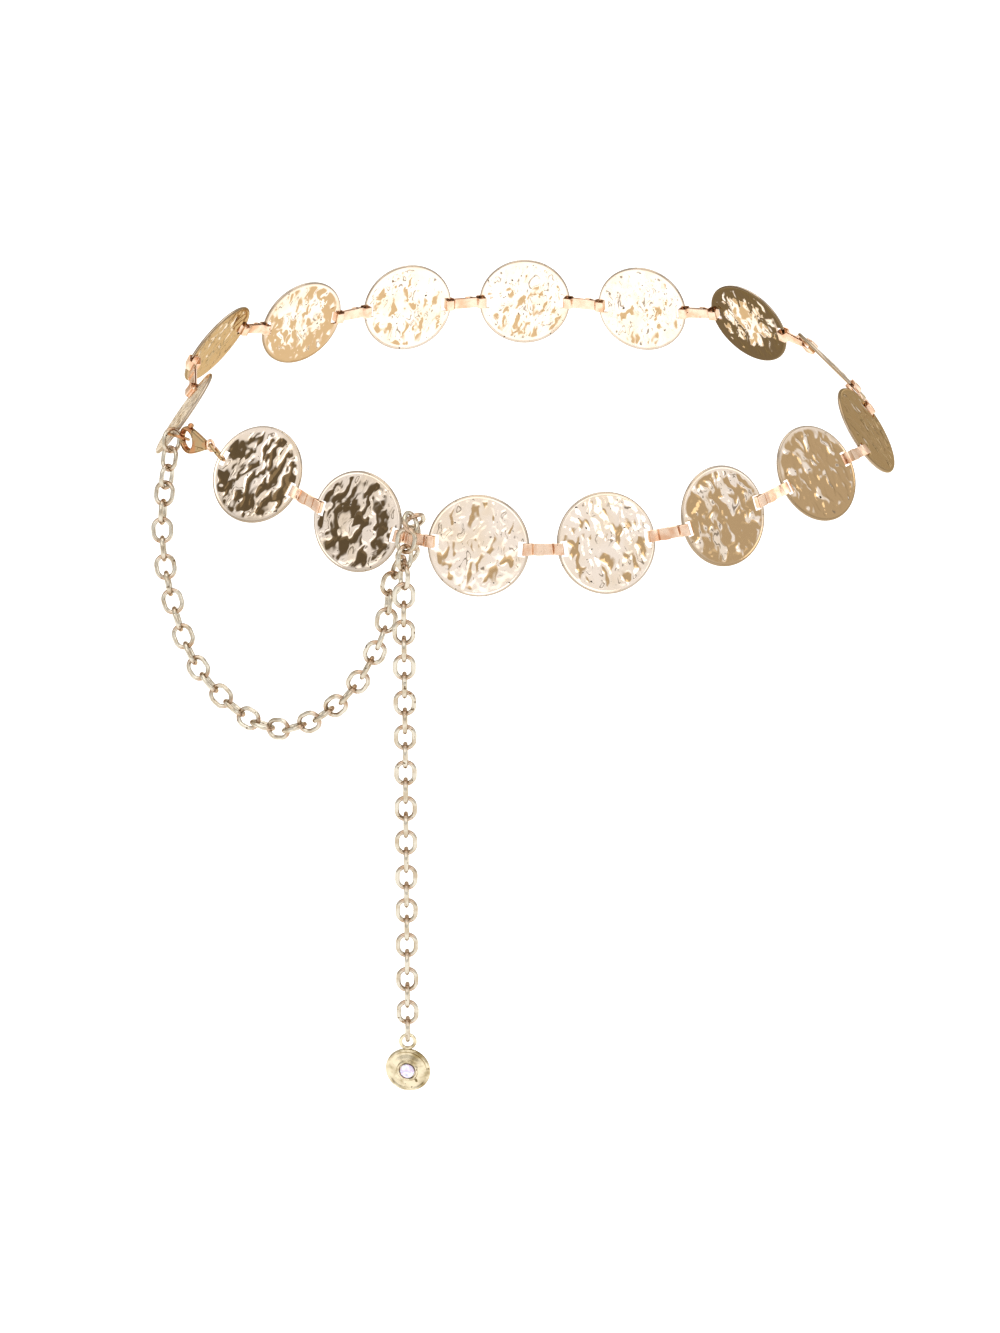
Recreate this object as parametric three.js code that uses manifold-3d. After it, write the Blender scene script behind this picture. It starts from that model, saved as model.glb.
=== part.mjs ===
// Chain belt: hammered discs joined by bent strips, a lobster clasp, and a long hanging chain with a pendant.
// Millimetres, +Z up, +X to the wearer's left. The origin is the middle of the loop, where the waist is.

import * as THREE from 'three';
import { mergeVertices } from 'three/addons/utils/BufferGeometryUtils.js';
import Module from 'manifold-3d';

const wasm = await Module();
wasm.setup();

const radians = THREE.MathUtils.degToRad;
const up = new THREE.Vector3(0, 0, 1);
const forward = new THREE.Vector3(0, -1, 0);
const clearance = 0.3;

// The belt line in plan is a rounded loop, and the loop slopes down to the front.
const beltLine = { halfWidth: 140, frontDepth: 105, backDepth: 115, fullness: 1.8, slope: 11.6 };
const firstBearing = 185.6;
const frontPitch = 49.4;
const backPitch = 52.2;
const pitchTurn = 10;
const widestStep = 1.2;

const disc = {
  radius: 19.75, segments: 24, plateHalf: 0.45, dentDepth: 0.2,
  beadRadius: 18.9, beadHalf: 0.7, barWidth: 1.5, slotWidth: 2.8, slotHeight: 6,
};
const fieldRings = [7.5, 14.2];

// One row for each disc, from the hook end round the back to the clasp end.
// lift is in mm above the sloping loop, lean tips the outer face up, turn swings it about the upright.
const discs = [
  { name: 'disc_01', lift: 3.5, lean: 39, turn: -2 },
  { name: 'disc_02', lift: 11.5, lean: 35, turn: -5 },
  { name: 'disc_03', lift: 3, lean: 19, turn: -4 },
  { name: 'disc_04', lift: -2, lean: 10, turn: -3 },
  { name: 'disc_05', lift: -4, lean: 11, turn: 0 },
  { name: 'disc_06', lift: -2.5, lean: 13, turn: 3 },
  { name: 'disc_07', lift: 3, lean: 27, turn: -1 },
  { name: 'disc_08', lift: 2, lean: 47, turn: -2 },
  { name: 'disc_09', lift: -3, lean: 36, turn: 0 },
  { name: 'disc_10', lift: 0.5, lean: 30, turn: -6 },
  { name: 'disc_11', lift: -2, lean: 17, turn: 6 },
  { name: 'disc_12', lift: -4, lean: 18, turn: 4 },
  { name: 'disc_13', lift: -4, lean: 11, turn: 0 },
  { name: 'disc_14', lift: -1.5, lean: 14, turn: -6 },
  { name: 'disc_15', lift: 4.5, lean: 30, turn: -1 },
];

// The first disc is rolled in its own plane, so that the clasp hooks it above the belt line.
const hookRoll = 10;

const strip = { width: 4.5, thickness: 0.5, bend: 0.6, bendSteps: 2, play: 0.5, pinch: 0.5, slope: 1.2 };
const chainLink = { length: 10.8, width: 9, wire: 1.85, bite: 0.3 };

// The chain leaves the end ring, hangs in a swag below the wearer's right hip, passes behind a front strip
// and over it, and hangs straight down. Links turn about the route by twist degrees.
const swagRoute = [
  { x: -146.6, y: -39, z: -37, twist: 90 },
  { x: -142.6, y: -48, z: -65, twist: 90 },
  { x: -131.5, y: -59, z: -91, twist: 90 },
  { x: -110.5, y: -71, z: -108, twist: 90 },
  { x: -95, y: -79, z: -109, twist: 90 },
  { x: -72, y: -88, z: -93, twist: 90 },
  { x: -56.5, y: -93, z: -65, twist: 90 },
  { x: -52, y: -91, z: -42, twist: 110 },
];
const heldStrip = 12;
const wrap = { place: 0.6, reach: 5.2, twist: 110, steps: 4, from: -20, sweep: 220 };
const hanging = { x: -47.5, forward: 2, settleDrop: 20, straightDrop: 60, twist: 180, end: -233 };
const walk = { samples: 20000, faceForward: 0.0015 };
const linksInRun = 5;
const linksInFirstRun = 3;

const endRing = { width: 7.7, wire: 1.2, reach: 6.4, inward: 0.65, rise: 0.85, play: 0.35 };
const jumpRing = { width: 6, wire: 1.2, reach: 5.1, rise: 0.5, play: 0.35 };
const clasp = {
  thickness: 2.4, bevel: 0.4, halfWidth: 5.6, noseBar: 1.8, noseRun: 3.2, backRun: 3.6,
  neckHalf: 1.8, neckRun: 1, holeLength: 7.2, holeHalf: 3.7, eyeRadius: 2.1, eyeWire: 1.2,
};
const gate = { setBack: 0.5, start: 1.4, knobBack: 2, knobRise: 0.4, knobRadius: 1.3, knobHeight: 2.4 };
const pendant = { radius: 9.2, turn: -12, segments: 24 };
const pendantEye = { radius: 2.9, wire: 1.4 };

const goldMetal = new THREE.MeshStandardMaterial({ color: 0xcfae7a, roughness: 0.25, metalness: 1 });
const warmMetal = new THREE.MeshStandardMaterial({ color: 0xc48a55, roughness: 0.3, metalness: 1 });
const chainMetal = new THREE.MeshStandardMaterial({ color: 0xb9a17c, roughness: 0.25, metalness: 1 });
const stoneWhite = new THREE.MeshStandardMaterial({ color: 0xddd8e6, roughness: 0.2, metalness: 0 });

const part = new THREE.Group();

function addMesh(name, geometry, material) {
  const mesh = new THREE.Mesh(geometry, material);
  mesh.name = name;
  part.add(mesh);
  return mesh;
}

function toSolid(geometry) {
  const bare = geometry.clone();
  bare.deleteAttribute('normal');
  bare.deleteAttribute('uv');
  const welded = mergeVertices(bare, 1e-4);
  return new wasm.Manifold(new wasm.Mesh({
    numProp: 3,
    vertProperties: Float32Array.from(welded.attributes.position.array),
    triVerts: Uint32Array.from(welded.index.array),
  }));
}

function fromSolid(solid) {
  const mesh = solid.getMesh();
  const geometry = new THREE.BufferGeometry();
  geometry.setAttribute('position', new THREE.BufferAttribute(mesh.vertProperties, 3));
  geometry.setIndex(new THREE.BufferAttribute(mesh.triVerts, 1));
  geometry.computeVertexNormals();
  return geometry;
}

function joinAll(geometries) {
  const solids = geometries.map(toSolid);
  return fromSolid(solids.reduce((whole, solid) => whole.add(solid)));
}

function basisAt(origin, xAxis, yAxis, zAxis) {
  return new THREE.Matrix4().makeBasis(xAxis, yAxis, zAxis).setPosition(origin);
}

function along(start, direction, distance) {
  return start.clone().addScaledVector(direction, distance);
}

function squareTo(vector, axis) {
  return vector.clone().addScaledVector(axis, -vector.dot(axis)).normalize();
}

// Belt line

function beltPoint(bearing, lift) {
  const cosine = Math.cos(bearing);
  const sine = Math.sin(bearing);
  const depth = sine < 0 ? beltLine.frontDepth : beltLine.backDepth;
  const power = 2 / beltLine.fullness;
  const x = beltLine.halfWidth * Math.sign(cosine) * Math.abs(cosine) ** power;
  const y = depth * Math.sign(sine) * Math.abs(sine) ** power;
  return new THREE.Vector3(x, y, y * Math.tan(radians(beltLine.slope)) + lift);
}

function nextBearing(bearing, from, lift, pitch) {
  let near = 0;
  let far = widestStep;
  for (let step = 0; step < 40; step += 1) {
    const middle = (near + far) / 2;
    const closer = beltPoint(bearing - middle, lift).distanceTo(from) < pitch;
    near = closer ? middle : near;
    far = closer ? far : middle;
  }
  return bearing - far;
}

function discCentres() {
  let bearing = radians(firstBearing);
  const centres = [beltPoint(bearing, discs[0].lift)];
  for (let index = 1; index < discs.length; index += 1) {
    const backness = 0.5 + 0.5 * Math.sin(bearing - radians(pitchTurn));
    const pitch = frontPitch + (backPitch - frontPitch) * backness;
    bearing = nextBearing(bearing, centres[index - 1], discs[index].lift, pitch);
    centres.push(beltPoint(bearing, discs[index].lift));
  }
  return centres;
}

// Each disc has its own axes: ahead runs along the belt, out is square to its outer face
// and across runs down that face.
function discFrames() {
  const centres = discCentres();
  return centres.map((centre, index) => {
    const last = centres.length - 1;
    const before = centres[Math.max(index - 1, 0)];
    const after = centres[Math.min(index + 1, last)];
    const ahead = after.clone().sub(before).normalize();
    ahead.applyAxisAngle(up, radians(discs[index].turn));
    const out = new THREE.Vector3().crossVectors(up, ahead).normalize();
    out.applyAxisAngle(ahead, radians(discs[index].lean));
    ahead.applyAxisAngle(out, index === 0 ? radians(hookRoll) : 0);
    const across = new THREE.Vector3().crossVectors(out, ahead);
    return { centre, ahead, across, out };
  });
}

const frames = discFrames();

// Hammered discs

function dent(x, y, phase) {
  const coarse = Math.sin(x * 0.55 + 1.3 * Math.sin(y * 0.28 + phase));
  const cross = Math.cos(y * 0.62 + 1.1 * Math.sin(x * 0.33 - phase));
  return 0.5 * (coarse + cross);
}

function discGeometry(phase) {
  const rings = [...fieldRings, disc.beadRadius];
  const points = [];
  const triangles = [];
  const faceStart = [];
  for (const side of [1, -1]) {
    faceStart.push(points.length);
    points.push([0, 0, side * disc.plateHalf]);
    rings.forEach((radius) => {
      for (let step = 0; step < disc.segments; step += 1) {
        const angle = (2 * Math.PI * step) / disc.segments;
        const x = radius * Math.cos(angle);
        const y = radius * Math.sin(angle);
        const onField = radius < disc.beadRadius;
        const relief = disc.dentDepth * dent(x, y, phase + side);
        points.push([x, y, side * (onField ? disc.plateHalf + relief : disc.beadHalf)]);
      }
    });
  }
  const edgeStart = points.length;
  for (let step = 0; step < disc.segments; step += 1) {
    const angle = (2 * Math.PI * step) / disc.segments;
    points.push([disc.radius * Math.cos(angle), disc.radius * Math.sin(angle), 0]);
  }
  const addFace = (a, b, c, side) => triangles.push(...(side > 0 ? [a, b, c] : [a, c, b]));
  [1, -1].forEach((side, face) => {
    const ringStart = (ring) => (ring < rings.length
      ? faceStart[face] + 1 + ring * disc.segments
      : edgeStart);
    for (let step = 0; step < disc.segments; step += 1) {
      const next = (step + 1) % disc.segments;
      addFace(faceStart[face], ringStart(0) + step, ringStart(0) + next, side);
      for (let ring = 0; ring < rings.length; ring += 1) {
        const inner = ringStart(ring);
        const outer = ringStart(ring + 1);
        addFace(inner + step, outer + step, outer + next, side);
        addFace(inner + step, outer + next, inner + next, side);
      }
    }
  });
  const geometry = new THREE.BufferGeometry();
  geometry.setAttribute('position', new THREE.Float32BufferAttribute(points.flat(), 3));
  geometry.setIndex(triangles);
  return geometry;
}

const slotMiddle = disc.radius - disc.barWidth - disc.slotWidth / 2;

function slotCutter(side) {
  const cutter = new THREE.BoxGeometry(disc.slotWidth, disc.slotHeight, 6 * disc.beadHalf);
  cutter.translate(side * slotMiddle, 0, 0);
  return toSolid(cutter);
}

discs.forEach((row, index) => {
  const { centre, ahead, across, out } = frames[index];
  const blank = toSolid(discGeometry(2.4 * index));
  const slotted = blank.subtract(slotCutter(1)).subtract(slotCutter(-1));
  const mesh = addMesh(row.name, fromSolid(slotted), goldMetal);
  mesh.applyMatrix4(basisAt(centre, ahead, across, out));
});

// Bent strips, each a ring through the slots of two discs, pinched flat between them

function sweptRing(stations, section) {
  const sides = section.length;
  const points = [];
  const triangles = [];
  stations.forEach(({ point, outward, wide }) => {
    section.forEach(([offset, spread]) => {
      points.push(along(along(point, outward, offset), wide, spread));
    });
  });
  for (let station = 0; station < stations.length; station += 1) {
    const here = station * sides;
    const there = ((station + 1) % stations.length) * sides;
    for (let side = 0; side < sides; side += 1) {
      const next = (side + 1) % sides;
      triangles.push(here + side, here + next, there + next);
      triangles.push(here + side, there + next, there + side);
    }
  }
  const geometry = new THREE.BufferGeometry().setFromPoints(points);
  geometry.setIndex(triangles);
  return geometry;
}

// A strip's fold lies along the rim bar, and it stands off the bar by more where the belt turns more.
function stripReach(frame, direction) {
  const onward = Math.abs(direction.dot(frame.ahead));
  const through = disc.beadHalf * Math.abs(direction.dot(frame.out));
  return disc.radius - disc.barWidth - (strip.play + strip.thickness / 2 + through) / onward;
}

function stripSpan(index) {
  const here = frames[index];
  const there = frames[index + 1];
  const straight = there.centre.clone().sub(here.centre).normalize();
  const start = along(here.centre, here.ahead, stripReach(here, straight));
  const finish = along(there.centre, there.ahead, -stripReach(there, straight));
  const slant = Math.max(...[here, there].map((frame) => Math.abs(straight.dot(frame.out))));
  const [nearEdge, farEdge] = [here, there].map((frame) => {
    const onward = Math.abs(straight.dot(frame.ahead));
    return (disc.radius - stripReach(frame, straight)) / onward + disc.beadHalf * slant + strip.play;
  });
  return {
    start,
    length: start.distanceTo(finish),
    direction: finish.clone().sub(start).normalize(),
    innerHalf: disc.beadHalf + 1.7 * disc.barWidth * slant + strip.play,
    nearEdge,
    farEdge,
  };
}

function stripGeometry(index) {
  const { start, length, direction, innerHalf, nearEdge, farEdge } = stripSpan(index);
  const height = innerHalf + strip.thickness / 2;
  const stations = [];
  const addStation = (reach, rise, angle) => {
    const wide = frames[index].across.clone().lerp(frames[index + 1].across, reach / length);
    const thick = new THREE.Vector3().crossVectors(direction, wide).normalize();
    const point = along(along(start, direction, reach), thick, rise);
    const outward = along(direction.clone().multiplyScalar(Math.cos(angle)), thick, Math.sin(angle));
    stations.push({ point, outward, wide });
  };
  const addBend = (end, face, startAngle) => {
    for (let step = 0; step <= strip.bendSteps; step += 1) {
      const angle = radians(startAngle + (90 * step) / strip.bendSteps);
      const reach = (end > 0 ? length - strip.bend : strip.bend) + strip.bend * Math.cos(angle);
      addStation(reach, face * (height - strip.bend) + strip.bend * Math.sin(angle), angle);
    }
  };
  const pinched = [
    { reach: length - farEdge, rise: height },
    { reach: length - farEdge - strip.slope, rise: strip.pinch },
    { reach: nearEdge + strip.slope, rise: strip.pinch },
    { reach: nearEdge, rise: height },
  ];
  addBend(1, -1, -90);
  addBend(1, 1, 0);
  pinched.forEach(({ reach, rise }) => addStation(reach, rise, Math.PI / 2));
  addBend(-1, 1, 90);
  addBend(-1, -1, 180);
  pinched.reverse().forEach(({ reach, rise }) => addStation(reach, -rise, -Math.PI / 2));
  const half = strip.thickness / 2;
  const edge = strip.width / 2;
  return sweptRing(stations, [[-half, -edge], [half, -edge], [half, edge], [-half, edge]]);
}

for (let index = 0; index + 1 < discs.length; index += 1) {
  const name = `strip_${String(index + 1).padStart(2, '0')}`;
  addMesh(name, stripGeometry(index), warmMetal);
}

// Round and oval wire rings

function wireSection(radius, sides) {
  return Array.from({ length: sides }, (_, side) => {
    const angle = Math.PI * (1 + (2 * side) / sides);
    return [radius * Math.cos(angle), radius * Math.sin(angle)];
  });
}

// An oval ring lies in its own XY plane, long in X, with a straight bow at each end.
function ovalRing({ length, width, wire }, sides = 5) {
  const radius = (width - wire) / 2;
  const straight = (length - width) / 2;
  const cornerRadius = radius / Math.cos(Math.PI / 8);
  const wide = new THREE.Vector3(0, 0, -1);
  const stations = [];
  for (let corner = 0; corner < 8; corner += 1) {
    const angle = (corner - 1.5) * (Math.PI / 4);
    const outward = new THREE.Vector3(Math.cos(angle), Math.sin(angle), 0);
    const point = outward.clone().multiplyScalar(cornerRadius);
    point.x += corner < 4 ? straight : -straight;
    stations.push({ point, outward, wide });
  }
  return sweptRing(stations, wireSection(wire / 2, sides));
}

function placed(geometry, origin, xAxis, zHint) {
  const zAxis = squareTo(zHint, xAxis);
  const yAxis = new THREE.Vector3().crossVectors(zAxis, xAxis);
  return geometry.applyMatrix4(basisAt(origin, xAxis, yAxis, zAxis));
}

// A ring that holds two bars, with play at both.
function ringBetween(first, second, size, normal) {
  const direction = second.point.clone().sub(first.point).normalize();
  const start = along(first.point, direction, -first.half - clearance);
  const finish = along(second.point, direction, second.half + clearance);
  const length = start.distanceTo(finish) + 2 * size.wire;
  const middle = start.lerp(finish, 0.5);
  return { geometry: placed(ovalRing({ ...size, length }), middle, direction, normal), middle, direction };
}

// Clasp between the two end discs

const hookDisc = frames[0];
const claspDisc = frames[discs.length - 1];
const barMiddle = disc.radius - disc.barWidth / 2;
const hookBar = along(hookDisc.centre, hookDisc.ahead, -barMiddle);
const claspBar = along(claspDisc.centre, claspDisc.ahead, barMiddle);

const intoRing = hookDisc.ahead.clone().negate();
intoRing.addScaledVector(hookDisc.out, -endRing.inward);
intoRing.addScaledVector(hookDisc.across, -endRing.rise).normalize();
const nosePoint = along(hookBar, intoRing, endRing.reach);
const towardsNose = along(nosePoint.clone().sub(claspBar).normalize(), up, jumpRing.rise).normalize();
const eyePoint = along(claspBar, towardsNose, jumpRing.reach);

const hookRing = ringBetween(
  { point: hookBar, half: disc.barWidth / 2 + endRing.play },
  { point: nosePoint, half: clasp.noseBar / 2 + endRing.play },
  endRing,
  hookDisc.across,
);
addMesh('end_ring', hookRing.geometry, goldMetal);

const claspRing = ringBetween(
  { point: claspBar, half: disc.barWidth / 2 + jumpRing.play },
  { point: eyePoint, half: clasp.eyeWire / 2 + jumpRing.play },
  jumpRing,
  claspDisc.across,
);
addMesh('jump_ring', claspRing.geometry, goldMetal);

const claspReach = nosePoint.distanceTo(eyePoint);
const claspAlong = nosePoint.clone().sub(eyePoint).normalize();
const claspNormal = new THREE.Vector3().crossVectors(claspAlong, up);

function claspBlank() {
  const base = 2 * clasp.eyeRadius + clasp.eyeWire / 2 + clearance;
  const tip = claspReach + clasp.noseBar / 2;
  const wide = clasp.halfWidth;
  const belly = claspReach - clasp.noseBar / 2 - clasp.holeLength / 2;
  const outline = new THREE.Shape();
  const neck = base + clasp.neckRun;
  const back = belly - clasp.backRun;
  const nose = belly + clasp.noseRun;
  outline.moveTo(base, -clasp.neckHalf);
  outline.bezierCurveTo(neck, -clasp.neckHalf, back, -wide, belly, -wide);
  outline.bezierCurveTo(nose, -wide, tip, -wide / 2, tip, 0);
  outline.bezierCurveTo(tip, wide / 2, nose, wide, belly, wide);
  outline.bezierCurveTo(back, wide, neck, clasp.neckHalf, base, clasp.neckHalf);
  outline.closePath();
  const hole = new THREE.Path();
  hole.absellipse(belly, 0, clasp.holeLength / 2, clasp.holeHalf, 0, 2 * Math.PI, true);
  outline.holes.push(hole);
  const geometry = new THREE.ExtrudeGeometry(outline, {
    depth: clasp.thickness - 2 * clasp.bevel,
    curveSegments: 5,
    bevelSize: clasp.bevel,
    bevelOffset: -clasp.bevel,
    bevelThickness: clasp.bevel,
    bevelSegments: 1,
  });
  geometry.translate(0, 0, clasp.bevel - clasp.thickness / 2);
  return { solid: toSolid(geometry), belly };
}

function gateBox(belly, grow) {
  const length = clasp.holeLength + 2 * grow;
  const height = clasp.halfWidth + 2 * grow;
  const box = new THREE.BoxGeometry(length, height, 2 * clasp.thickness);
  box.translate(belly - gate.setBack, gate.start + height / 2 - grow, 0);
  return toSolid(box);
}

const { solid: claspSolid, belly: claspBelly } = claspBlank();
const claspBody = claspSolid.subtract(gateBox(claspBelly, clearance));
const knob = new THREE.CylinderGeometry(gate.knobRadius, gate.knobRadius, gate.knobHeight, 10);
knob.translate(claspBelly - gate.knobBack, clasp.halfWidth + gate.knobRise, 0);
const claspGate = claspSolid.intersect(gateBox(claspBelly, 0)).add(toSolid(knob));
addMesh('clasp_body', placed(fromSolid(claspBody), eyePoint, claspAlong, claspNormal), goldMetal);
addMesh('clasp_gate', placed(fromSolid(claspGate), eyePoint, claspAlong, claspNormal), goldMetal);

const eyeWidth = 2 * clasp.eyeRadius + clasp.eyeWire;
const claspEye = ovalRing({ length: eyeWidth, width: eyeWidth, wire: clasp.eyeWire });
const eyeMiddle = along(eyePoint, claspAlong.clone().add(towardsNose).normalize(), clasp.eyeRadius);
addMesh('clasp_eye', placed(claspEye, eyeMiddle, claspAlong, claspNormal), warmMetal);

// Chain

const linkInside = chainLink.length - 2 * chainLink.wire;

function chainRoute() {
  const ringNormal = squareTo(hookDisc.across, hookRing.direction);
  const ringSide = new THREE.Vector3().crossVectors(hookRing.direction, ringNormal);
  const legOffset = (endRing.width - endRing.wire) / 2;
  const leftward = ringSide.x > 0 ? -legOffset : legOffset;
  const leg = along(hookRing.middle, ringSide, leftward);
  const first = along(leg, up, endRing.wire / 2 + 2 * clearance - linkInside / 2);
  const faceOn = Math.atan2(hookRing.direction.x, -hookRing.direction.y);
  const route = [{ point: first, twist: 180 - THREE.MathUtils.radToDeg(faceOn) }];
  swagRoute.forEach(({ x, y, z, twist }) => route.push({ point: new THREE.Vector3(x, y, z), twist }));
  const held = stripSpan(heldStrip);
  const wide = squareTo(frames[heldStrip].across, held.direction);
  const thick = new THREE.Vector3().crossVectors(held.direction, wide);
  const middle = along(held.start, held.direction, wrap.place * held.length);
  const depth = held.innerHalf + strip.thickness + wrap.reach;
  const height = strip.width / 2 + wrap.reach;
  for (let step = 0; step <= wrap.steps; step += 1) {
    const angle = radians(wrap.from + (wrap.sweep * step) / wrap.steps);
    const point = along(along(middle, thick, -depth * Math.cos(angle)), wide, -height * Math.sin(angle));
    route.push({ point, twist: wrap.twist });
  }
  const front = route[route.length - 1].point;
  const settled = new THREE.Vector3(hanging.x, front.y - hanging.forward, front.z - hanging.settleDrop);
  route.push({ point: settled, twist: hanging.twist });
  route.push({ point: along(settled, up, -hanging.straightDrop), twist: hanging.twist });
  route.push({ point: new THREE.Vector3(settled.x, settled.y, hanging.end), twist: hanging.twist });
  return route;
}

// Walks the route and sets a link at each pitch. Links in a run bite into each other, and runs stay clear.
// The faces of every second link turn back to the front after each bend of the route.
function chainLinks() {
  const route = chainRoute();
  const curve = new THREE.CatmullRomCurve3(route.map(({ point }) => point), false, 'centripetal');
  const links = [];
  const normal = forward.clone();
  for (let sample = 0; sample <= walk.samples; sample += 1) {
    const share = sample / walk.samples;
    const point = curve.getPoint(share);
    const tangent = curve.getTangent(share);
    normal.addScaledVector(forward, walk.faceForward * Math.sign(normal.dot(forward)));
    normal.copy(squareTo(normal, tangent));
    const startsRun = (links.length - linksInFirstRun) % linksInRun === 0;
    const pitch = linkInside + (startsRun ? -clearance : chainLink.bite);
    if (links.length === 0 || point.distanceTo(links[links.length - 1].point) >= pitch) {
      const place = share * (route.length - 1);
      const row = Math.min(Math.floor(place), route.length - 2);
      const twist = THREE.MathUtils.lerp(route[row].twist, route[row + 1].twist, place - row);
      const turned = normal.clone().applyAxisAngle(tangent, radians(twist + 90 * (links.length % 2)));
      links.push({ point, tangent, normal: turned });
    }
  }
  return links;
}

const links = chainLinks();
let runStart = 0;
for (let run = 1; runStart < links.length; run += 1) {
  const runEnd = linksInFirstRun + (run - 1) * linksInRun;
  const rings = links.slice(runStart, runEnd).map(({ point, tangent, normal }) => (
    placed(ovalRing(chainLink), point, tangent, normal)));
  addMesh(`chain_${String(run).padStart(2, '0')}`, joinAll(rings), chainMetal);
  runStart = runEnd;
}

// Pendant, hung by its eye on the lowest bow of the chain

const lowestLink = links[links.length - 1];
const bowDrop = (chainLink.length - chainLink.wire) / 2;
const pivot = along(lowestLink.point, lowestLink.tangent, bowDrop);
const eyeDrop = pendantEye.radius - pendantEye.wire / 2 - clearance - chainLink.wire / 2;
const eyeCentre = along(pivot, up, -eyeDrop);
const pendantCentre = along(eyeCentre, up, -pendantEye.radius - pendantEye.wire / 4 - pendant.radius);

function pendantLathe(profile) {
  const points = profile.map(({ radius, height }) => new THREE.Vector2(radius, height));
  const geometry = new THREE.LatheGeometry(points, pendant.segments);
  geometry.rotateX(Math.PI);
  geometry.rotateZ(radians(pendant.turn));
  return geometry.translate(pendantCentre.x, pendantCentre.y, pendantCentre.z);
}

// Rows run from the middle of the back to the rim and over the front to the seat of the stone.
const pendantProfile = [
  { radius: 0, height: -1.2 },
  { radius: 8.4, height: -1.2 },
  { radius: 9.2, height: -0.4 },
  { radius: 9.1, height: 0.6 },
  { radius: 8.4, height: 1 },
  { radius: 7.5, height: 0.5 },
  { radius: 5.8, height: 1.1 },
  { radius: 4.4, height: 1.3 },
  { radius: 4, height: 1.9 },
  { radius: 3.3, height: 1.9 },
  { radius: 3.3, height: 0.9 },
  { radius: 0, height: 0.9 },
];
const stoneProfile = [
  { radius: 0, height: 1.2 },
  { radius: 2.95, height: 1.2 },
  { radius: 2.95, height: 1.8 },
  { radius: 2.2, height: 2.5 },
  { radius: 0, height: 2.9 },
];

const eyeSize = 2 * pendantEye.radius + pendantEye.wire;
const eyeRing = ovalRing({ length: eyeSize, width: eyeSize, wire: pendantEye.wire });
const eyePlaced = placed(eyeRing, eyeCentre, up, forward);
addMesh('pendant', joinAll([pendantLathe(pendantProfile), eyePlaced]), warmMetal);
addMesh('pendant_stone', pendantLathe(stoneProfile), stoneWhite);

export default part;
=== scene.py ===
from math import atan2, ceil, copysign, cos, degrees, pi, radians, sin, tan
from types import SimpleNamespace as Settings

import bmesh
import bpy
from mathutils import Matrix, Vector


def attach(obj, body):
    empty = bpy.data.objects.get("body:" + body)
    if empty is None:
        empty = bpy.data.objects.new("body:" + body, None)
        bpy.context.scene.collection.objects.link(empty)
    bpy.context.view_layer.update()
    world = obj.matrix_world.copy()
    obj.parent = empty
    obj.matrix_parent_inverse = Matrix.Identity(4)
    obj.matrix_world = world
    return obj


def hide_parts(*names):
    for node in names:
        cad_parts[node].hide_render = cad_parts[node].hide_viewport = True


# Chain belt: hammered discs, bent strips, lobster clasp, cable chain and pendant.
# Lengths are in millimetres until a mesh is placed, then in metres.

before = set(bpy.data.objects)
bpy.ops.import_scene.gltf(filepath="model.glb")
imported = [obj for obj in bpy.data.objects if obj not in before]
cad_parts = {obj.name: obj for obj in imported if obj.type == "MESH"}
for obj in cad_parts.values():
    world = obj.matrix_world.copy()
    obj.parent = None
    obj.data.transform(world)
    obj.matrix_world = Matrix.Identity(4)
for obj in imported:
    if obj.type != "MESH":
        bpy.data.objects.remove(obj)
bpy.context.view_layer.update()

millimetre = 0.001
up = Vector((0, 0, 1))
forward = Vector((0, -1, 0))
clearance = 0.3


# Camera first

camera = Settings(location=(-0.0104, -1.4685, 0.3929), tilt=71.1, lens=99.9)

cameraData = bpy.data.cameras.new("photoCamera")
cameraData.lens = camera.lens
cameraObject = bpy.data.objects.new("photoCamera", cameraData)
cameraObject.location = camera.location
cameraObject.rotation_euler = (radians(camera.tilt), 0, 0)
bpy.context.scene.collection.objects.link(cameraObject)
bpy.context.scene.camera = cameraObject
print("camera ready")


# Helpers for node trees

def addNode(tree, kind, inputs=None, **settings):
    node = tree.nodes.new(kind)
    for name, value in settings.items():
        setattr(node, name, value)
    for name, value in (inputs or {}).items():
        if isinstance(value, bpy.types.NodeSocket):
            tree.links.new(value, node.inputs[name])
        else:
            node.inputs[name].default_value = value
    return node


signs = {"+": "ADD", "-": "SUBTRACT", "*": "MULTIPLY", "/": "DIVIDE"}


def calc(tree, sign, first, second=0.0, third=0.0):
    inputs = {0: first, 1: second, 2: third}
    return addNode(tree, "ShaderNodeMath", inputs, operation=signs.get(sign, sign)).outputs[0]


def vectorCalc(tree, operation, inputs):
    return addNode(tree, "ShaderNodeVectorMath", inputs, operation=operation).outputs


def split(tree, vector):
    return addNode(tree, "ShaderNodeSeparateXYZ", {0: vector}).outputs


def join(tree, x=0.0, y=0.0, z=0.0):
    return addNode(tree, "ShaderNodeCombineXYZ", {0: x, 1: y, 2: z}).outputs[0]


def rescale(tree, value, fromLow, fromHigh, toLow=0.0, toHigh=1.0):
    inputs = {"Value": value, "From Min": fromLow, "From Max": fromHigh, "To Min": toLow, "To Max": toHigh}
    return addNode(tree, "ShaderNodeMapRange", inputs, interpolation_type="SMOOTHSTEP").outputs["Result"]


def mixColors(tree, share, first, second):
    inputs = {0: share, 6: first, 7: second}
    return addNode(tree, "ShaderNodeMix", inputs, data_type="RGBA").outputs[2]


def addSockets(tree, direction, kind, *names):
    for name in names:
        tree.interface.new_socket(name, in_out=direction, socket_type=f"NodeSocket{kind}")


def geoNode(tree, kind, inputs=None, **settings):
    return addNode(tree, f"GeometryNode{kind}", inputs, **settings).outputs[0]


def storeValue(tree, geometry, name, value):
    inputs = {"Geometry": geometry, "Name": name, "Value": value}
    return geoNode(tree, "StoreNamedAttribute", inputs, data_type="FLOAT", domain="POINT")


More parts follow.
